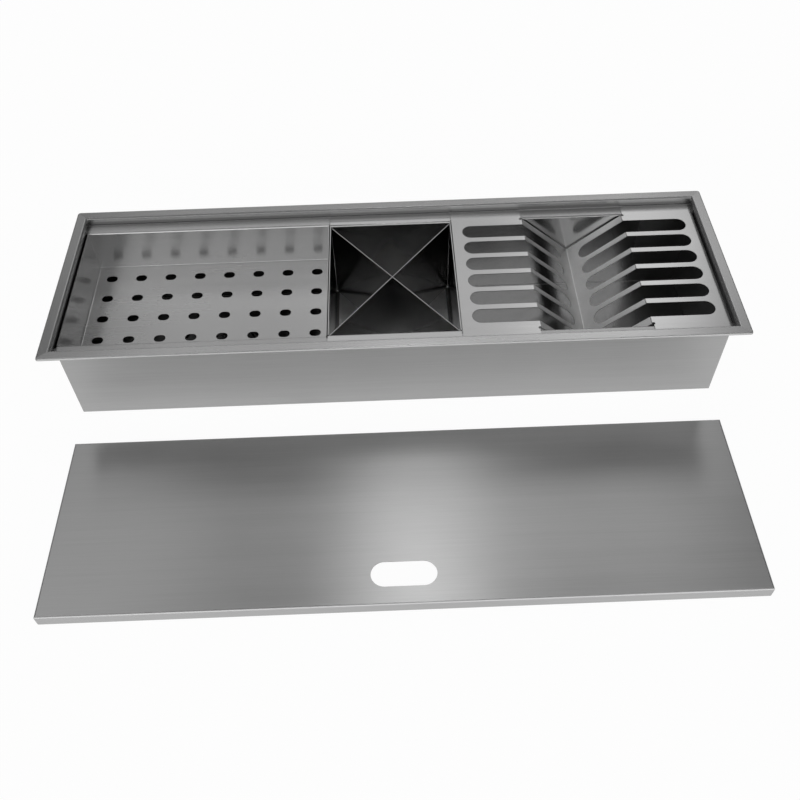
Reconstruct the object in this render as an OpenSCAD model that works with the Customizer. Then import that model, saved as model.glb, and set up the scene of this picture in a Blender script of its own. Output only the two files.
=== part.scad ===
// Recessed stainless-steel trough for a worktop, with a perforated tray, a cutlery box, a plate rack and a
// cover that is shown taken off and lying in front.
// Millimetres. The origin is at the middle of the plane that the trough stands on; +X runs along the trough to
// the right, +Y to the back and +Z up.

/* [Trough] */
// Length over the rim, left to right
trough_len = 900; // [760:10:1200]
// Width over the rim, front to back
trough_w = 285; // [265:1:330]
// Depth from the rim's top to the underside of the bottom
trough_depth = 146; // [146:1:180]
// Thickness of the trough's sheet
sheet = 1.2; // [1:0.1:1.5]
// Inside radius of the trough's folds
bend_r = 1.5; // [1:0.25:2.5]

/* [Rim and ledges] */
// Width of the flat rim
rim_w = 15; // [14:0.5:20]
// Height of the rim's turned-down edge
rim_lip = 2.5; // [2.2:0.1:4]
// Inside radius of the rim's turned-down edge
rim_edge_r = 0.6; // [0.4:0.1:0.9]
// Radius of the rim's outer corners
rim_corner_r = 4; // [3:0.5:4.5]
// Depth of the recess from the rim's top to the ledges
recess_depth = 13; // [10:0.5:16]
// Width of the front and back ledges
ledge_w = 17.5; // [16:0.5:24]

/* [Seal and pads] */
// Width of the foam seal under the rim
seal_w = 8.5; // [6:0.5:9]
// Thickness of the foam seal
seal_t = 2; // [1.5:0.1:3]
// Gap between the fold at the rim's inner edge and the foam seal
seal_gap = 1; // [0.5:0.25:1.5]
// Thickness of the sound-deadening pads
pad_t = 5; // [5:0.5:8]
// Length of a sound-deadening pad
pad_len = 90; // [60:5:100]
// Width of a sound-deadening pad
pad_w = 170; // [120:5:180]
// Distance from the drain's centre to the centre of each pad beside it
pad_reach = 115; // [110:5:120]

/* [Drain] */
// Distance from the trough's left end wall to the drain's centre
drain_from_end = 175; // [170:5:180]
// Radius of the outlet hole
outlet_r = 45; // [30:1:50]
// Radius of the pressed seat around the outlet
seat_r = 56; // [53:1:58]
// Depth of the pressed seat
seat_depth = 3.5; // [3:0.25:3.75]
// Width of the flat band that joins the pressed seat to the bottom
seat_land = 4; // [3:0.5:6]
// Thickness of the strainer plate
strainer_t = 1.5; // [1:0.1:2]
// Clearance around the strainer plate
strainer_clear = 1; // [0.5:0.1:1.5]
// Radius of the strainer's holes
strainer_hole_r = 3; // [2:0.25:3.5]
// Radius of the strainer's knob
knob_r = 9; // [7:0.5:11]
// Height of the strainer's knob
knob_h = 13; // [10:0.5:16]

/* [Accessories] */
// Thickness of the accessories' sheet
acc_sheet = 1; // [0.8:0.1:1.2]
// Inside radius of the accessories' folds
acc_bend_r = 1.5; // [1:0.25:2]
// Gap between the trough's end walls and the accessories
end_gap = 2; // [1:0.25:3]
// Gap between neighbouring accessories
side_gap = 1.5; // [1:0.25:3]
// Gap between the recess's step and an accessory's flange
flange_gap = 1.5; // [0.5:0.25:3]
// Gap between a ledge's inner edge and the wall of a hung accessory
wall_gap = 2.5; // [1.5:0.25:3.5]

/* [Perforated tray] */
// Depth of the tray from its flange's top to its floor's underside
tray_depth = 65; // [40:1:80]
// Gap between a ledge's inner edge and the tray's wall
tray_wall_gap = 0.75; // [0.5:0.25:3.5]
// Length of the tray's holes, left to right
tray_hole_len = 16; // [13:0.5:22]
// Width of the tray's holes, front to back
tray_hole_w = 12.5; // [8:0.5:13]
// Distance between the tray's holes, left to right
tray_hole_pitch = 43; // [36:0.5:50]
// Distance between the tray's rows of holes, front to back
tray_row_pitch = 41; // [34:0.5:50]
// Least distance from a hole's centre to the tray's walls
tray_hole_margin = 18; // [14:1:24]

/* [Cutlery box] */
// Length of the box along the trough
cutlery_len = 172; // [150:1:200]
// Depth of the box from its flange's top to its floor's underside
cutlery_depth = 127; // [100:1:130]
// Width of the drain gap along the foot of each side wall
cutlery_drain_gap = 3.5; // [2.5:0.25:5]
// Distance from the flange's top down to the dividers' top
divider_drop = 3; // [1:0.5:10]
// Thickness of the dividers
divider_sheet = 1; // [0.8:0.1:1.2]
// Clearance in the dividers' half-lap and at their ends
divider_clear = 0.3; // [0.2:0.05:0.6]

/* [Plate rack] */
// Length of the rack along the trough
rack_len = 345.5; // [330:0.5:360]
// Length of the V's mouth along the trough
v_len = 142.5; // [120:0.5:160]
// Depth of the V below the flange's top
v_depth = 61; // [40:1:75]
// Number of slots on each side of the V
slot_count = 6; // [4:1:6]
// Distance between the slots
slot_pitch = 33.25; // [30:0.25:34]
// Width of a slot
slot_w = 25; // [15:0.5:26]
// Distance from the rack's end to a slot's round end
slot_margin = 14; // [10:0.5:20]
// Distance from the V's crease to a slot's lower round end, measured down the slope
slot_foot = 17; // [12:0.5:24]
// Radius of the rack's outer corners
rack_corner_r = 6; // [2:0.5:10]
// Radius of the relief hole where a wing meets the V
relief_r = 2; // [1.5:0.25:3]

/* [Cover] */
// Thickness of the cover's sheet
cover_sheet = 1.2; // [1:0.1:1.5]
// Inside radius of the cover's folds
cover_bend_r = 1.3; // [1:0.1:2]
// Gap between the cover and the recess's step, all round
cover_clear = 1; // [0.5:0.25:2]
// Height of the cover's folded-down edge
cover_edge = 16; // [12:0.5:20]
// Radius of the cover's corners seen from above
cover_corner_r = 2; // [1.3:0.1:2.3]
// Length of the finger slot
finger_len = 80; // [60:1:110]
// Width of the finger slot
finger_w = 33; // [22:1:40]
// Distance from the cover's front edge to the finger slot
finger_inset = 23.5; // [15:0.5:60]
// Distance from the trough's front rim to the cover that lies in front of it
cover_reach = 30; // [5:1:200]

/* [Hidden] */

// Facets of a fold's rounded corner
bend_steps = 6;
// How far a cutter reaches past what it cuts
over = 1;

// Heights: the trough stands on its pads
floor_z = pad_t + sheet;
rim_z = pad_t + trough_depth;
ledge_z = rim_z - recess_depth;
flange_z = ledge_z + acc_sheet;

// Half sizes of the well, the recess and the rim's corner centres
recess_x = trough_len / 2 - rim_w;
recess_y = trough_w / 2 - rim_w;
well_y = recess_y - ledge_w;
rim_cx = trough_len / 2 - rim_corner_r;
rim_cy = trough_w / 2 - rim_corner_r;

// Accessories: they fill the well's length from left to right
flange_y = recess_y - flange_gap;
box_y = well_y - wall_gap - acc_sheet;
tray_y = well_y - tray_wall_gap - acc_sheet;
tray_len = 2 * (recess_x - end_gap - side_gap) - cutlery_len - rack_len;
tray_x = -recess_x + end_gap + tray_len / 2;
cutlery_x = tray_x + (tray_len + cutlery_len) / 2 + side_gap;
rack_x = cutlery_x + (cutlery_len + rack_len) / 2 + side_gap;

// Drain
drain_x = -recess_x + drain_from_end;
seat_z = floor_z - seat_depth;
seat_outer_r = seat_r + seat_land;
strainer_r = seat_r - strainer_clear - bend_r;
strainer_z = seat_z + strainer_t;
knob_stem_r = knob_r / 3;
knob_head_h = knob_h / 3;

// Plate rack
v_slope = atan2(v_depth, v_len / 2);
v_run = norm([v_len / 2, v_depth]);
slot_cut_h = 2 * (acc_sheet + acc_bend_r + over);

// Cover
cover_len = 2 * (recess_x - cover_clear);
cover_w = 2 * (recess_y - cover_clear);
cover_y = -trough_w / 2 - cover_reach - cover_w / 2;

// Left-hand normal of a direction
function left_of(d) = [-d[1], d[0]] / norm(d);

// Signed angle by which the line a-b-c turns at b, positive to the left
function turn_at(a, b, c) = atan2(cross(b - a, c - b), (b - a) * (c - b));

// Point v turned by an angle about the origin
function turned(v, angle) = [v[0] * cos(angle) - v[1] * sin(angle), v[0] * sin(angle) + v[1] * cos(angle)];

// Rounded corner of radius r at b
function corner_arc(a, b, c, r) =
    let (turn = turn_at(a, b, c),
         start = b - (b - a) / norm(b - a) * r * tan(abs(turn) / 2),
         centre = start + sign(turn) * r * left_of(b - a))
    [for (i = [0 : bend_steps]) centre + turned(start - centre, turn * i / bend_steps)];

// Line with its corners rounded: left turns by r_left, right turns by r_right
function rounded_line(p, r_left, r_right) = [
    p[0],
    for (i = [1 : len(p) - 2])
        each corner_arc(p[i - 1], p[i], p[i + 1], turn_at(p[i - 1], p[i], p[i + 1]) > 0 ? r_left : r_right),
    p[len(p) - 1],
];

// Corner b moved to the right of the line a-b-c by the distance t
function mitre_point(a, b, c, t) =
    let (n1 = left_of(b - a), n2 = left_of(c - b)) b - t * (n1 + n2) / (1 + n1 * n2);

// The line moved to its right by the distance t
function right_side(p, t) = [
    p[0] - t * left_of(p[1] - p[0]),
    for (i = [1 : len(p) - 2]) mitre_point(p[i - 1], p[i], p[i + 1], t),
    p[len(p) - 1] - t * left_of(p[len(p) - 1] - p[len(p) - 2]),
];

function reversed(p) = [for (i = [len(p) - 1 : -1 : 0]) p[i]];

// Section of a folded sheet: its good face follows the line, its thickness t lies to the right of the line, and
// r is the inside radius of its folds
module folded_sheet(line, t, r) {
    polygon(concat(rounded_line(line, r, r + t), reversed(rounded_line(right_side(line, t), r + t, r))));
}

// Section of a pan with rounded lower corners, its floor at z = 0
module pan_section(width, height, r) {
    line = [[-width / 2, height], [-width / 2, 0], [width / 2, 0], [width / 2, height]];
    polygon(r > 0 ? rounded_line(line, r, r) : line);
}

// Stands a section drawn in Y and Z up and draws it out along X, about the middle
module along_x(length) {
    rotate([90, 0, 90]) linear_extrude(length, center = true) children();
}

// Stands a section drawn in X and Z up and draws it out along Y, about the middle
module along_y(length) {
    rotate([90, 0, 0]) linear_extrude(length, center = true) children();
}

module rounded_plan(length, width, r) {
    for (x = [-1, 1], y = [-1, 1]) {
        translate([x * (length / 2 - r), y * (width / 2 - r)]) circle(r, $fn = 48);
    }
    square([length - 2 * r, width], center = true);
    square([length, width - 2 * r], center = true);
}

// Stadium-shaped opening, its length over the round ends
module stadium(length, width) {
    for (x = [-1, 1]) translate([x * (length - width) / 2, 0]) circle(width / 2, $fn = 64);
    square([length - width, width], center = true);
}

// Good face of the trough from the front rim to the back rim, as Y and Z
function trough_line() =
    let (half = [[well_y, floor_z], [well_y, ledge_z], [recess_y, ledge_z], [recess_y, rim_z], [rim_cy, rim_z]])
    concat([for (p = reversed(half)) [-p[0], p[1]]], half);

// Section of the rim's turned-down edge, outwards from a corner's centre line
module rim_edge_section() {
    folded_sheet([[0, 0], [rim_corner_r, 0], [rim_corner_r, -rim_lip]], sheet, rim_edge_r);
}

// Turned-down edge of the whole rim
module rim_edge() {
    for (side = [0, 180]) {
        rotate([0, 0, side]) translate([0, rim_cy, rim_z]) along_x(2 * rim_cx) rim_edge_section();
        rotate([0, 0, side]) translate([rim_cx, 0, rim_z]) along_y(2 * rim_cy) rim_edge_section();
    }
    for (x = [-1, 1], y = [-1, 1]) {
        translate([x * rim_cx, y * rim_cy, rim_z])
            rotate([0, 0, x > 0 ? (y > 0 ? 0 : -90) : (y > 0 ? 90 : 180)])
                rotate_extrude(angle = 90, $fn = 96) rim_edge_section();
    }
}

// Ground that an end plate takes, mitred at 45 degrees into the long rims
module end_mask(side) {
    reach = rim_w + over;
    translate([side * recess_x, 0, -over]) mirror([side < 0 ? 1 : 0, 0, 0])
        linear_extrude(rim_z + 2 * over) polygon([
            [0, -recess_y], [reach, -recess_y - reach], [reach, recess_y + reach], [0, recess_y],
        ]);
}

module pressed_seat() {
    translate([drain_x, 0, 0]) rotate_extrude($fn = 128)
        folded_sheet([[outlet_r, seat_z], [seat_r, seat_z], [seat_r, floor_z], [seat_outer_r, floor_z]], sheet, bend_r);
}

module trough_channel() {
    color("silver") difference() {
        union() {
            difference() {
                along_x(2 * rim_cx) folded_sheet(trough_line(), sheet, bend_r);
                translate([drain_x, 0, 0]) cylinder(r = seat_outer_r, h = floor_z + over, $fn = 128);
            }
            rim_edge();
            pressed_seat();
        }
        for (side = [-1, 1]) end_mask(side);
    }
}

// Welded end wall with its own short rim; side is -1 at the left and 1 at the right
module end_plate(side) {
    outline = rounded_line(right_side(trough_line(), sheet), bend_r + sheet, bend_r);
    wall = [for (p = outline) if (p[1] < rim_z - sheet - bend_r) p];
    intersection() {
        union() {
            translate([side * (recess_x + sheet / 2), 0, 0]) along_x(sheet) polygon(wall);
            mirror([side < 0 ? 1 : 0, 0, 0]) along_y(2 * rim_cy) folded_sheet([
                [recess_x, ledge_z], [recess_x, rim_z], [rim_cx, rim_z],
            ], sheet, bend_r);
            rim_edge();
        }
        end_mask(side);
    }
}

module left_end_plate() {
    color("silver") end_plate(-1);
}

module right_end_plate() {
    color("silver") end_plate(1);
}

// Foam strip under the flat of the rim
module rim_seal() {
    inner = bend_r + sheet + seal_gap;
    color("dimgray") translate([0, 0, rim_z - sheet - seal_t]) linear_extrude(seal_t) difference() {
        square([2 * (recess_x + inner + seal_w), 2 * (recess_y + inner + seal_w)], center = true);
        square([2 * (recess_x + inner), 2 * (recess_y + inner)], center = true);
    }
}

// Pads under the bottom: one in the middle, two beside the drain and two that mirror them
module sound_pads() {
    color("dimgray") for (x = [0, for (side = [-1, 1], step = [-1, 1]) side * drain_x + step * pad_reach]) {
        translate([x, 0, pad_t / 2]) cube([pad_len, pad_w, pad_t], center = true);
    }
}

module drain_strainer() {
    color("gainsboro") translate([drain_x, 0, seat_z]) difference() {
        cylinder(r = strainer_r, h = strainer_t, $fn = 128);
        for (ring = [2 : 4], i = [0 : 6 * ring - 1]) {
            rotate([0, 0, 60 * i / ring]) translate([ring * outlet_r / 5, 0, -over])
                cylinder(r = strainer_hole_r, h = strainer_t + 2 * over, $fn = 24);
        }
    }
}

module drain_strainer_knob() {
    neck_h = knob_h - 2 * knob_head_h;
    color("gainsboro") translate([drain_x, 0, strainer_z]) {
        cylinder(r = knob_stem_r + knob_r / 4, h = neck_h / 2, $fn = 48);
        cylinder(r = knob_stem_r, h = knob_h - knob_head_h, $fn = 48);
        translate([0, 0, neck_h]) cylinder(r1 = knob_stem_r, r2 = knob_r, h = knob_head_h, $fn = 48);
        translate([0, 0, neck_h + knob_head_h]) cylinder(r = knob_r, h = knob_head_h, $fn = 48);
    }
}

// Folded box that hangs by its front and back flanges. inner_y is the distance from its middle to the inside of
// its front and back walls, and end_r the inside radius of the fold at the foot of its end walls, or 0 where they
// are flat plates.
module hung_box(length, inner_y, depth, end_r) {
    base_z = flange_z - depth;
    wall_top = flange_z - acc_sheet - acc_bend_r;
    wall_h = wall_top - base_z;
    fold_r = acc_bend_r + acc_sheet;
    difference() {
        intersection() {
            translate([0, 0, base_z]) along_x(length) pan_section(2 * (inner_y + acc_sheet), wall_h, fold_r);
            translate([0, 0, base_z])
                along_y(2 * trough_w) pan_section(length, wall_h, end_r > 0 ? end_r + acc_sheet : 0);
        }
        intersection() {
            translate([0, 0, base_z + acc_sheet]) along_x(length) pan_section(2 * inner_y, wall_h, acc_bend_r);
            translate([0, 0, base_z + acc_sheet])
                along_y(2 * trough_w) pan_section(length - 2 * acc_sheet, wall_h, end_r);
        }
    }
    for (side = [-1, 1]) {
        mirror([0, side < 0 ? 1 : 0, 0]) along_x(length) folded_sheet([
            [inner_y, wall_top], [inner_y, flange_z], [flange_y, flange_z],
        ], acc_sheet, acc_bend_r);
        translate([side * (length - acc_sheet) / 2, 0, (wall_top + flange_z) / 2])
            cube([acc_sheet, 2 * inner_y, flange_z - wall_top], center = true);
    }
}

// Evenly spaced places about the middle of a run, at least margin from its ends
function row_of(run, pitch, margin) =
    let (n = floor((run - 2 * margin) / pitch)) [for (i = [0 : n]) (i - n / 2) * pitch];

module perforated_tray() {
    inner_len = tray_len - 2 * acc_sheet;
    color("silver") translate([tray_x, 0, 0]) difference() {
        hung_box(tray_len, tray_y, tray_depth, acc_bend_r);
        for (x = row_of(inner_len, tray_hole_pitch, tray_hole_margin),
             y = row_of(2 * tray_y, tray_row_pitch, tray_hole_margin)) {
            translate([x, y, flange_z - tray_depth - over])
                linear_extrude(acc_sheet + 2 * over) stadium(tray_hole_len, tray_hole_w);
        }
    }
}

module cutlery_box() {
    gap_len = 2 * (box_y - acc_bend_r - divider_sheet);
    gap_x = cutlery_len / 2 - acc_sheet - cutlery_drain_gap / 2;
    color("silver") translate([cutlery_x, 0, 0]) difference() {
        hung_box(cutlery_len, box_y, cutlery_depth, 0);
        for (side = [-1, 1]) {
            translate([side * gap_x, 0, flange_z - cutlery_depth + acc_sheet / 2])
                cube([cutlery_drain_gap, gap_len, acc_sheet + 2 * over], center = true);
        }
    }
}

// Diagonal divider across the cutlery box. slot_up is true where its half-lap slot opens upwards.
module divider(side, slot_up) {
    half_x = cutlery_len / 2 - acc_sheet;
    reach = norm([half_x, box_y]) - divider_sheet - divider_clear;
    foot_z = flange_z - cutlery_depth + acc_sheet;
    height = flange_z - divider_drop - foot_z;
    clip = acc_bend_r + divider_sheet;
    crossing = 2 * atan2(half_x, box_y);
    slot = divider_sheet * (1 + abs(cos(crossing))) / sin(crossing) + 2 * divider_clear;
    translate([cutlery_x, 0, foot_z]) rotate([0, 0, side * atan2(box_y, half_x)]) difference() {
        along_y(divider_sheet) polygon([
            [-reach, clip], [-reach + clip, 0], [reach - clip, 0], [reach, clip], [reach, height], [-reach, height],
        ]);
        translate([0, 0, slot_up ? height : 0]) cube([slot, 2 * slot, height], center = true);
    }
}

module cutlery_divider_long() {
    color("gainsboro") divider(1, false);
}

module cutlery_divider_cross() {
    color("gainsboro") divider(-1, true);
}

// One slot of the rack, from its round end on the right wing down the slope towards the crease
module rack_slot() {
    wing_x = rack_len / 2 - slot_margin - slot_w / 2;
    slope_run = v_run - slot_foot - slot_w / 2;
    translate([wing_x, 0, 0]) cylinder(d = slot_w, h = slot_cut_h, center = true, $fn = 64);
    translate([(v_len / 2 + wing_x) / 2, 0, 0]) cube([wing_x - v_len / 2, slot_w, slot_cut_h], center = true);
    translate([v_len / 2, 0, 0]) rotate([0, -v_slope, 0]) {
        translate([-slope_run / 2, 0, 0]) cube([slope_run, slot_w, slot_cut_h], center = true);
        translate([-slope_run, 0, 0]) cylinder(d = slot_w, h = slot_cut_h, center = true, $fn = 64);
    }
}

module plate_rack() {
    half = rack_len / 2;
    v_y = box_y + acc_sheet;
    wing_len = half - v_len / 2 - relief_r;
    color("silver") translate([rack_x, 0, flange_z]) difference() {
        along_y(2 * flange_y) folded_sheet([
            [-half, 0], [-v_len / 2, 0], [0, -v_depth], [v_len / 2, 0], [half, 0],
        ], acc_sheet, acc_bend_r);
        translate([0, 0, -v_depth - 2 * over]) linear_extrude(v_depth + 4 * over) {
            difference() {
                square([rack_len + 2 * over, 2 * flange_y + 2 * over], center = true);
                rounded_plan(rack_len, 2 * flange_y, rack_corner_r);
            }
            for (y = [-1, 1]) {
                translate([0, y * (v_y + flange_y + over) / 2])
                    square([rack_len - 2 * wing_len, flange_y + over - v_y], center = true);
                for (x = [-1, 1]) {
                    translate([x * (half - wing_len), y * v_y]) circle(relief_r, $fn = 32);
                }
            }
        }
        for (i = [0 : slot_count - 1], turn = [0, 180]) {
            rotate([0, 0, turn]) translate([0, (i - (slot_count - 1) / 2) * slot_pitch, 0]) rack_slot();
        }
    }
}

module cover_panel() {
    fold_r = cover_bend_r + cover_sheet;
    color("silver") translate([0, cover_y, cover_edge]) mirror([0, 0, 1]) difference() {
        intersection() {
            along_x(cover_len) pan_section(cover_w, cover_edge, fold_r);
            along_y(cover_w) pan_section(cover_len, cover_edge, fold_r);
            linear_extrude(cover_edge) rounded_plan(cover_len, cover_w, cover_corner_r);
        }
        translate([0, 0, cover_sheet]) intersection() {
            along_x(cover_len) pan_section(cover_w - 2 * cover_sheet, cover_edge, cover_bend_r);
            along_y(cover_w) pan_section(cover_len - 2 * cover_sheet, cover_edge, cover_bend_r);
        }
        translate([0, -cover_w / 2 + finger_inset + finger_w / 2, -over])
            linear_extrude(cover_sheet + 2 * over) stadium(finger_len, finger_w);
    }
}

trough_channel();
left_end_plate();
right_end_plate();
rim_seal();
sound_pads();
drain_strainer();
drain_strainer_knob();
perforated_tray();
cutlery_box();
cutlery_divider_long();
cutlery_divider_cross();
plate_rack();
cover_panel();
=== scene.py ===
import math

import bpy
from mathutils import Matrix, Vector


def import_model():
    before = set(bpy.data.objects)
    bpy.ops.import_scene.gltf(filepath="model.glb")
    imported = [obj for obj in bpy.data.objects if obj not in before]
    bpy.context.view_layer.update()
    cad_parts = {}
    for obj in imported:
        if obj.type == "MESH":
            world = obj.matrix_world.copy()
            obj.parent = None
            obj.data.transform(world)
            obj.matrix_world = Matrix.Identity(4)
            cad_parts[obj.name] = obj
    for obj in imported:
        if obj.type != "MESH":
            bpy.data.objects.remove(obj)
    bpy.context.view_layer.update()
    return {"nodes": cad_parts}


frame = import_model()

# Camera, matched to the photograph
CAMERA_PLACE = Vector((-0.0044, -0.9008, 0.9793))
CAMERA_PITCH = math.radians(50.932)
CAMERA_YAW = math.radians(0.627)
CAMERA_ROLL = math.radians(1.672)
SENSOR = 36.0
FOCAL_RATIO = 898 / 800
NEAREST = 0.05
FARTHEST = 50


def camera():
    data = bpy.data.cameras.new("camera")
    data.sensor_width = SENSOR
    data.lens = SENSOR * FOCAL_RATIO
    data.clip_start = NEAREST
    data.clip_end = FARTHEST
    obj = bpy.data.objects.new("camera", data)
    bpy.context.scene.collection.objects.link(obj)
    turn = Matrix.Rotation(-CAMERA_YAW, 4, "Z") @ Matrix.Rotation(math.pi / 2 - CAMERA_PITCH, 4, "X")
    obj.matrix_world = Matrix.Translation(CAMERA_PLACE) @ turn @ Matrix.Rotation(-CAMERA_ROLL, 4, "Z")
    bpy.context.scene.camera = obj


class Nodes:
    """Short calls for building a node tree."""

    def __init__(self, tree):
        self.tree = tree
        tree.nodes.clear()

    def put(self, value, socket):
        if isinstance(value, bpy.types.NodeSocket):
            self.tree.links.new(value, socket)
        else:
            socket.default_value = value

    def add(self, kind, inputs=None, **settings):
        node = self.tree.nodes.new(kind)
        for key, value in settings.items():
            setattr(node, key, value)
        for key, value in (inputs or {}).items():
            self.put(value, node.inputs[key])
        return node

    def math(self, operation, *values):
        return self.add("ShaderNodeMath", dict(enumerate(values)), operation=operation).outputs[0]

    def vector(self, operation, *values):
        return self.add("ShaderNodeVectorMath", dict(enumerate(values)), operation=operation).outputs[0]

    def ramp(self, value, low, high, smooth=False, start=0.0, end=1.0):
        """Goes from low to high while value goes from start to end."""
        node = self.add(
            "ShaderNodeMapRange",
            {"Value": value, "From Min": start, "From Max": end, "To Min": low, "To Max": high},
            interpolation_type="SMOOTHSTEP" if smooth else "LINEAR",
        )
        return node.outputs[0]

    def blend(self, factor, low, high):
        node = self.add("ShaderNodeMix", {"Factor": factor}, data_type="FLOAT")
        self.put(low, node.inputs[2])
        self.put(high, node.inputs[3])
        return node.outputs[0]

    def noise(self, place, scale, detail, roughness=0.5):
        inputs = {"Vector": place, "Scale": scale, "Detail": detail, "Roughness": roughness}
        return self.add("ShaderNodeTexNoise", inputs).outputs[0]

    def bump(self, height, strength, depth):
        inputs = {"Strength": strength, "Distance": depth, "Height": height}
        return self.add("ShaderNodeBump", inputs).outputs[0]

    def grey(self, value):
        return self.add("ShaderNodeCombineColor", {0: value, 1: value, 2: value}).outputs[0]


def new_material(name):
    material = bpy.data.materials.new(name)
    material.use_nodes = True
    return material, Nodes(material.node_tree)


def plain_grey(value):
    return (value, value, value, 1.0)


# Height of the underside of the accessories' flanges
FLANGE_UNDERSIDE = 0.138
# Height over which a change of tone fades
TONE_FADE = 0.004
# Stretch of the trough's inside, along X, that is kept bright: its middle, half length and soft end. Beyond
# it the inside below the flanges gets painted shade.
BRIGHT_X = 0.2275
BRIGHT_HALF = 0.1175
BRIGHT_SOFT = 0.03
# How much rougher the inside is beyond that stretch
ENDS_ROUGHER = 0.18

# Brush lines: lines per metre along and across the brushing, and the detail of their noise
FINE_LINES = (9.0, 1000.0, 2.0)
BROAD_LINES = (1.2, 90.0, 3.0)
LINE_ROUGHNESS = 0.6
CLOUD_SCALE = 7.0
CLOUD_DETAIL = 3.0
# How far the lines and the clouds change the tone, as a share of it, and the roughness
FINE_TONE = 0.08
BROAD_TONE = 0.06
CLOUD_TONE = 0.05
BROAD_ROUGH = 0.03
CLOUD_ROUGH = 0.04
# Bump of the fine lines, and their depth
LINE_BUMP = 0.15
LINE_DEPTH = 0.00004

# Least part of the normal along the brushing on a face that is brushed the other way
LOOKS_ALONG = 0.8
# Greatest part along Z on an upright face, and least part on an upper cut edge
UPRIGHT = 0.5
LOOKS_UP = 0.7
# Largest part of the normal well inside a fold, and on flat sheet
FOLDED = 0.85
FLAT = 0.995
# Height that is added to every tangent, so that none is zero
TANGENT_LIFT = 0.02


def brush_lines(n, place, axis, facing, shape):
    """Noise drawn out along axis, 0 for X or 1 for Y, and along the other on faces that look along axis."""
    along, across, detail = shape
    noises = []
    for direction in (axis, 1 - axis):
        scale = [across] * 3
        scale[direction] = along
        stretched = n.vector("MULTIPLY", place, tuple(scale))
        noises.append(n.noise(stretched, 1.0, detail, LINE_ROUGHNESS))
    return n.blend(facing, *noises)


def below(n, height, top):
    """1 below a height, fading to 0 there."""
    return n.ramp(height, 1.0, 0.0, smooth=True, start=top - TONE_FADE, end=top)


def painted_end_shade_mask(n, x, height):
    """Mask of the painted shade: 1 below the flanges and beyond the trough's bright stretch."""
    away = n.math("ABSOLUTE", n.math("SUBTRACT", x, BRIGHT_X))
    away = n.ramp(away, 0.0, 1.0, smooth=True, start=BRIGHT_HALF, end=BRIGHT_HALF + BRIGHT_SOFT)
    return n.math("MULTIPLY", below(n, height, FLANGE_UNDERSIDE), away)


def brushed_steel(
    name,
    axis,
    tone=0.42,
    rough=0.30,
    stretch=0.75,
    fold_rough=0.0,
    fold_tone=1.0,
    low=None,
    ends=None,
    edge=None,
):
    """Stainless sheet brushed along X (0) or Y (1), and along the other on faces that look along that axis.
    Its gloss is drawn out across the brushing by stretch. Its folds are rougher by fold_rough and darker by
    the factor fold_tone, a painted shade. low is the tone of the painted shade on its upright faces below a
    height, and that height. ends is the tone of the painted shade below the flanges beyond the trough's
    bright stretch, where it is also rougher, and edge the tone of the upper cut edges."""
    material, n = new_material(name)
    place = n.add("ShaderNodeTexCoord").outputs["Object"]
    normal = n.add("ShaderNodeNewGeometry").outputs["Normal"]
    x, _, height = n.add("ShaderNodeSeparateXYZ", {0: place}).outputs
    looks = n.add("ShaderNodeSeparateXYZ", {0: normal}).outputs
    sizes = [n.math("ABSOLUTE", part) for part in looks]
    flat = n.math("MAXIMUM", n.math("MAXIMUM", sizes[0], sizes[1]), sizes[2])

    facing = n.math("GREATER_THAN", sizes[axis], LOOKS_ALONG)
    fine = brush_lines(n, place, axis, facing, FINE_LINES)
    broad = brush_lines(n, place, axis, facing, BROAD_LINES)
    cloud = n.noise(place, CLOUD_SCALE, CLOUD_DETAIL)

    base = tone
    # Painted shade: upright faces below the height top take the darker tone of low
    if low:
        upright_shade_tone, top = low
        upright = n.math("LESS_THAN", sizes[2], UPRIGHT)
        base = n.blend(n.math("MULTIPLY", below(n, height, top), upright), tone, upright_shade_tone)
    # Painted shade: below the flanges and beyond the bright stretch the tone falls to ends
    if ends:
        end_shade_share = painted_end_shade_mask(n, x, height)
        base = n.blend(end_shade_share, tone, ends)
    if edge:
        base = n.blend(n.math("GREATER_THAN", looks[2], LOOKS_UP), base, edge)
    shade = n.math("ADD", n.ramp(fine, -FINE_TONE, FINE_TONE), n.ramp(broad, -BROAD_TONE, BROAD_TONE))
    shade = n.math("ADD", shade, n.ramp(cloud, -CLOUD_TONE, CLOUD_TONE))
    value = n.math("MULTIPLY", n.math("ADD", shade, 1.0), base)
    # Painted shade in the folds: their tone falls by the factor fold_tone
    if fold_tone < 1.0:
        value = n.math("MULTIPLY", value, n.ramp(flat, fold_tone, 1.0, start=FOLDED, end=FLAT))

    roughness = n.ramp(broad, rough - BROAD_ROUGH, rough + BROAD_ROUGH)
    roughness = n.math("ADD", roughness, n.ramp(cloud, -CLOUD_ROUGH, CLOUD_ROUGH))
    if ends:
        roughness = n.math("ADD", roughness, n.math("MULTIPLY", end_shade_share, ENDS_ROUGHER))
    if fold_rough:
        roughness = n.math("ADD", roughness, n.ramp(flat, fold_rough, 0.0, start=FOLDED, end=FLAT))

    brush = tuple(1.0 if i == axis else 0.0 for i in range(3))
    across = n.vector("ADD", n.vector("CROSS_PRODUCT", normal, brush), (0.0, 0.0, TANGENT_LIFT))
    shader = n.add(
        "ShaderNodeBsdfPrincipled",
        {
            "Base Color": n.grey(value),
            "Metallic": 1.0,
            "Roughness": roughness,
            "Anisotropic": stretch,
            "Normal": n.bump(fine, LINE_BUMP, LINE_DEPTH),
            "Tangent": across,
        },
    )
    n.add("ShaderNodeOutputMaterial", {"Surface": shader.outputs[0]})
    return material


# Foam and bitumen: mottling of the tone, and the pores' bump and depth
MOTTLE_SCALE = 60.0
MOTTLE_DETAIL = 4.0
MOTTLE_TONE = 0.3
PORE_BUMP = 0.6
PORE_DEPTH = 0.0003
MATT = 0.9


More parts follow.
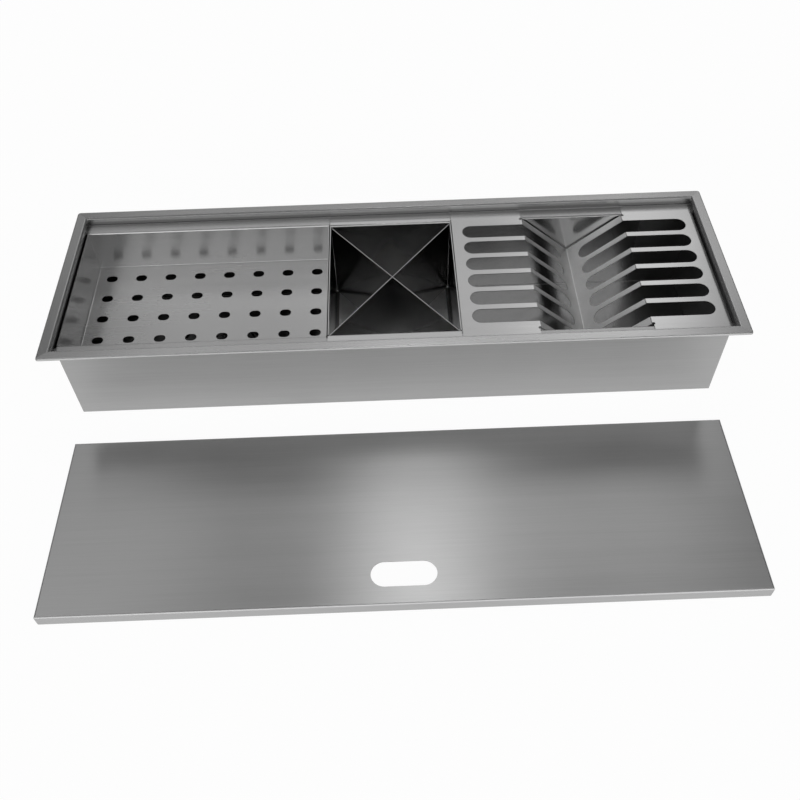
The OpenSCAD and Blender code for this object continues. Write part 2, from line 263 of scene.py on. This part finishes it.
def foam(name, tone, pore_scale):
    """Closed-cell foam or bitumen: matt, finely pitted."""
    material, n = new_material(name)
    place = n.add("ShaderNodeTexCoord").outputs["Object"]
    pores = n.add("ShaderNodeTexVoronoi", {"Vector": place, "Scale": pore_scale}).outputs["Distance"]
    mottle = n.noise(place, MOTTLE_SCALE, MOTTLE_DETAIL)
    value = n.math("MULTIPLY", n.ramp(mottle, 1.0 - MOTTLE_TONE, 1.0 + MOTTLE_TONE), tone)
    bump = n.bump(pores, PORE_BUMP, PORE_DEPTH)
    surface = {"Base Color": n.grey(value), "Roughness": MATT, "Normal": bump}
    shader = n.add("ShaderNodeBsdfPrincipled", surface)
    n.add("ShaderNodeOutputMaterial", {"Surface": shader.outputs[0]})
    return material


# The trough's outside: past these distances from the middle and below this height, or on its underside
OUTSIDE_X = 0.4355
OUTSIDE_Y = 0.1106
OUTSIDE_TOP = 0.1365
UNDERSIDE = 0.0055
# Heights below which the trough's inside is its bottom, and above which it is its rim and ledges
BOTTOM_TOP = 0.009
RIM_BOTTOM = 0.1365
# The drain's place along X, and how far its pressed seat reaches
DRAIN_X = -0.26
DRAIN_REACH = 0.064
# Distance from the middle beyond which the rim and its step count as the front rim
FRONT_RIM_Y = 0.127
# Height up to which the step inside the rim gets painted shade
STEP_SHADE_TOP = 0.147
# The plate rack's middle along X, half the length of its V, and the underside of its wings
RACK_X = 0.26025
RACK_V_HALF = 0.0715
WING_UNDERSIDE = 0.1378
# Distance from the middle beyond which the tray's faces belong to its long walls, and their lowest height
TRAY_WALL_Y = 0.1
TRAY_WALL_FOOT = 0.0765
# Height below which the cutlery box's faces belong to its floor
CUTLERY_FLOOR = 0.0135
# Distance from the middle beyond which faces belong to the cover's front edge, and the foot of its fold there
COVER_FRONT_Y = 0.4229
COVER_FOLD_FOOT = 0.0134


def trough_face(centre):
    """0 for the trough's inner walls, 1 for its outside, 2 for its bottom, 3 for its rim and ledges, 4 for
    its front rim."""
    if centre.z < BOTTOM_TOP and math.hypot(centre.x - DRAIN_X, centre.y) < DRAIN_REACH:
        return 2
    beside = abs(centre.x) > OUTSIDE_X or abs(centre.y) > OUTSIDE_Y
    if (beside and centre.z < OUTSIDE_TOP) or centre.z < UNDERSIDE:
        return 1
    if centre.z < BOTTOM_TOP:
        return 2
    if centre.z < RIM_BOTTOM:
        return 0
    return 4 if centre.y < -FRONT_RIM_Y else 3


def tray_face(centre):
    """1 for the tray's long walls, 0 for the rest."""
    return int(abs(centre.y) > TRAY_WALL_Y and TRAY_WALL_FOOT < centre.z < FLANGE_UNDERSIDE)


def cutlery_face(centre):
    """1 for the cutlery box's floor, 0 for the rest."""
    return int(centre.z < CUTLERY_FLOOR)


def rack_face(centre):
    """1 and 2 for the left and right slopes of the plate rack's V, 0 for its wings."""
    if abs(centre.x - RACK_X) > RACK_V_HALF or centre.z > WING_UNDERSIDE:
        return 0
    return 1 if centre.x < RACK_X else 2


def cover_face(centre):
    """1 for the fold along the cover's front edge, 0 for the rest."""
    return int(centre.y < -COVER_FRONT_Y and centre.z > COVER_FOLD_FOOT)


def dress(node, *materials, pick=None):
    """Gives a node its materials. pick returns a face's place among them from its centre."""
    obj = frame["nodes"][node]
    obj.data.materials.clear()
    for material in materials:
        obj.data.materials.append(material)
    if pick:
        for face in obj.data.polygons:
            face.material_index = pick(obj.matrix_world @ face.center)


def dress_trough():
    outside = brushed_steel("trough_outside_steel", 0, tone=0.40, rough=0.5, stretch=0.3)
    # Painted shade on the step wall inside the rim: tone 0.16 up to STEP_SHADE_TOP
    step = (0.16, STEP_SHADE_TOP)
    # Painted light: the front rim takes a lighter tone, 0.45, than the side and back rims
    front_rim = brushed_steel("trough_front_rim_painted_light_steel", 0, tone=0.45, rough=0.26, fold_rough=0.2, low=step)
    for axis, nodes in enumerate((("trough_channel",), ("left_end_plate", "right_end_plate"))):
        along = "xy"[axis]
        # The walls and the bottom get painted shade, tone 0.19, beyond the bright stretch; the drain's
        # pressed seat counts as bottom
        walls = brushed_steel(
            f"trough_wall_steel_{along}", axis, tone=0.39, rough=0.16, fold_rough=0.2, ends=0.19
        )
        bottom = brushed_steel(f"trough_bottom_steel_{along}", axis, tone=0.39, rough=0.15, ends=0.19)
        # Painted shade: the side and back rims take a darker tone, 0.35, than the front rim
        rim = brushed_steel(
            f"trough_rim_painted_shade_steel_{along}", axis, tone=0.35, rough=0.26, fold_rough=0.2, fold_tone=0.5, low=step
        )
        for node in nodes:
            dress(node, walls, outside, bottom, rim, front_rim, pick=trough_face)
    dress("rim_seal", foam("seal_foam", 0.03, 900.0))
    dress("sound_pads", foam("pad_bitumen", 0.05, 500.0))
    # Painted shade: the strainer under the tray takes a dark tone, 0.20
    strainer = brushed_steel("strainer_steel", 0, tone=0.20, rough=0.3)
    dress("drain_strainer", strainer)
    dress("drain_strainer_knob", strainer)


def dress_accessories():
    tray = brushed_steel("tray_steel", 0, rough=0.26)
    # Painted light: the tray's long walls take a lighter tone, 0.46, than the rest of the tray
    tray_wall = brushed_steel("tray_wall_painted_light_steel", 0, tone=0.46, rough=0.26)
    dress("perforated_tray", tray, tray_wall, pick=tray_face)

    # Painted shade on the cutlery box's upright faces below the flanges, tone 0.36
    inside = (0.36, FLANGE_UNDERSIDE)
    cutlery = brushed_steel("cutlery_steel", 0, rough=0.11, fold_rough=0.15, fold_tone=0.7, low=inside)
    # Painted light: the cutlery box's floor takes a very light tone, 0.95
    cutlery_floor = brushed_steel("cutlery_floor_painted_light_steel", 0, tone=0.95, rough=0.40, stretch=0.0)
    dress("cutlery_box", cutlery, cutlery_floor, pick=cutlery_face)
    # Painted shade: the dividers take the same dark tone, 0.36, as the box's inside; their upper cut edges
    # take 0.30
    divider = brushed_steel("divider_painted_shade_steel", 0, tone=0.36, rough=0.11, edge=0.30)
    dress("cutlery_divider_long", divider)
    dress("cutlery_divider_cross", divider)

    rack = brushed_steel("rack_steel", 0, rough=0.20)
    # Painted light: the V's slopes take lighter tones than the rack, 0.5 on the left and 0.78 on the right
    left_slope = brushed_steel("rack_left_slope_painted_light_steel", 0, tone=0.5, rough=0.45, stretch=0.0)
    right_slope = brushed_steel("rack_right_slope_painted_light_steel", 0, tone=0.78, rough=0.55, stretch=0.0)
    dress("plate_rack", rack, left_slope, right_slope, pick=rack_face)

    # Painted shade in the cover's folds, factor 0.6; the fold along its front edge, cover_fold_steel, has
    # none
    cover = brushed_steel("cover_steel", 0, fold_tone=0.6)
    cover_fold = brushed_steel("cover_fold_steel", 0)
    dress("cover_panel", cover, cover_fold, pick=cover_face)


# Studio light: soft panels in the sky. Each has a name, its middle's azimuth from the back towards the right,
# its half width and soft edge, its lowest and highest full elevation, the soft edge above and below, all in
# degrees, and the strength that it adds.
SKY_BASE = 0.12
SKY_PANELS = (
    ("ring", 0, 180, 1, -10, 14, 18, 0.35),
    ("front_fill", 180, 25, 45, 22, 50, 18, 1.5),
    ("front_low", 180, 60, 40, 2, 12, 14, 1.1),
    ("left_mid", -52, 17, 20, 57, 60, 12, 1.1),
    ("right_high", 66, 20, 16, 66, 80, 12, 0.65),
    ("back_low", 2.6, 19, 14, 40, 46, 12, 0.9),
    ("back_low_right", 20, 1, 13, 42, 46, 12, 0.9),
    ("back_high", 3, 1, 12, 67, 82, 14, 4.3),
)
# Elevation, in degrees, up to which reflections show the white that the camera sees. Then it fades over as
# much again.
BACKDROP_TOP = 4


def ray_kinds(n):
    """1 for the camera's rays, and 1 for reflected and transmitted ones."""
    path = n.add("ShaderNodeLightPath").outputs
    return path["Is Camera Ray"], n.math("MAXIMUM", path["Is Glossy Ray"], path["Is Transmission Ray"])


def sky_panel(n, azimuth, elevation, panel):
    _, centre, half, edge, low, high, rise, strength = panel
    if centre == 180:
        # Azimuth jumps from 180 to -180 in the middle of a front panel
        turn = n.math("SUBTRACT", 180.0, n.math("ABSOLUTE", azimuth))
    else:
        turn = n.math("SUBTRACT", azimuth, centre)
    across = n.ramp(n.math("ABSOLUTE", turn), strength, 0.0, smooth=True, start=half, end=half + edge)
    above = n.ramp(elevation, 0.0, 1.0, smooth=True, start=low - rise, end=low)
    under = n.ramp(elevation, 1.0, 0.0, smooth=True, start=high, end=high + rise)
    return n.math("MULTIPLY", across, n.math("MULTIPLY", above, under))


def world():
    scene_world = bpy.data.worlds.new("studio")
    bpy.context.scene.world = scene_world
    scene_world.use_nodes = True
    n = Nodes(scene_world.node_tree)
    direction = n.add("ShaderNodeTexCoord").outputs["Generated"]
    x, y, z = n.add("ShaderNodeSeparateXYZ", {0: direction}).outputs
    elevation = n.math("MULTIPLY", n.math("ARCSINE", z), math.degrees(1))
    azimuth = n.math("MULTIPLY", n.math("ARCTAN2", x, y), math.degrees(1))
    studio = SKY_BASE
    for panel in SKY_PANELS:
        studio = n.math("ADD", studio, sky_panel(n, azimuth, elevation, panel))
    backdrop = n.ramp(elevation, 1.0, 0.0, smooth=True, start=BACKDROP_TOP, end=2 * BACKDROP_TOP)
    direct, mirrored = ray_kinds(n)
    seen = n.math("MAXIMUM", direct, n.math("MULTIPLY", mirrored, backdrop))
    strength = n.blend(seen, studio, 1.0)
    shader = n.add("ShaderNodeBackground", {"Color": plain_grey(1.0), "Strength": strength})
    n.add("ShaderNodeOutputWorld", {"Surface": shader.outputs[0]})


# The floor's half size, its depth below the lowest pads, its matt grey, and the share of white that is seen
FLOOR_HALF = 12.0
FLOOR_DROP = 0.0002
FLOOR_GREY = 0.9
FLOOR_WHITE = 0.96
# Under the trough the floor stays matt: distances along X and Y over which the white comes in
CLEAR_X = (0.40, 0.43)
CLEAR_Y = (0.08, 0.105)


def floor():
    mesh = bpy.data.meshes.new("floor")
    corners = [(x * FLOOR_HALF, y * FLOOR_HALF, 0) for x, y in ((-1, -1), (1, -1), (1, 1), (-1, 1))]
    mesh.from_pydata(corners, [], [(0, 1, 2, 3)])
    obj = bpy.data.objects.new("floor", mesh)
    bpy.context.scene.collection.objects.link(obj)
    obj.location.z = -FLOOR_DROP
    material, n = new_material("floor_white")
    x, y, _ = n.add("ShaderNodeSeparateXYZ", {0: n.add("ShaderNodeTexCoord").outputs["Object"]}).outputs
    clear = [
        n.ramp(n.math("ABSOLUTE", way), 0.0, 1.0, smooth=True, start=start, end=end)
        for way, (start, end) in ((x, CLEAR_X), (y, CLEAR_Y))
    ]
    seen = n.math("MAXIMUM", *ray_kinds(n))
    share = n.math("MULTIPLY", n.math("MULTIPLY", seen, n.math("MAXIMUM", *clear)), FLOOR_WHITE)
    matt = n.add("ShaderNodeBsdfDiffuse", {"Color": plain_grey(FLOOR_GREY)}).outputs[0]
    glow = n.add("ShaderNodeEmission", {"Color": plain_grey(1.0), "Strength": 1.0}).outputs[0]
    mixed = n.add("ShaderNodeMixShader", {0: share, 1: matt, 2: glow}).outputs[0]
    n.add("ShaderNodeOutputMaterial", {"Surface": mixed})
    mesh.materials.append(material)


camera()
dress_trough()
dress_accessories()
world()
floor()
bpy.context.scene.view_settings.view_transform = "Standard"
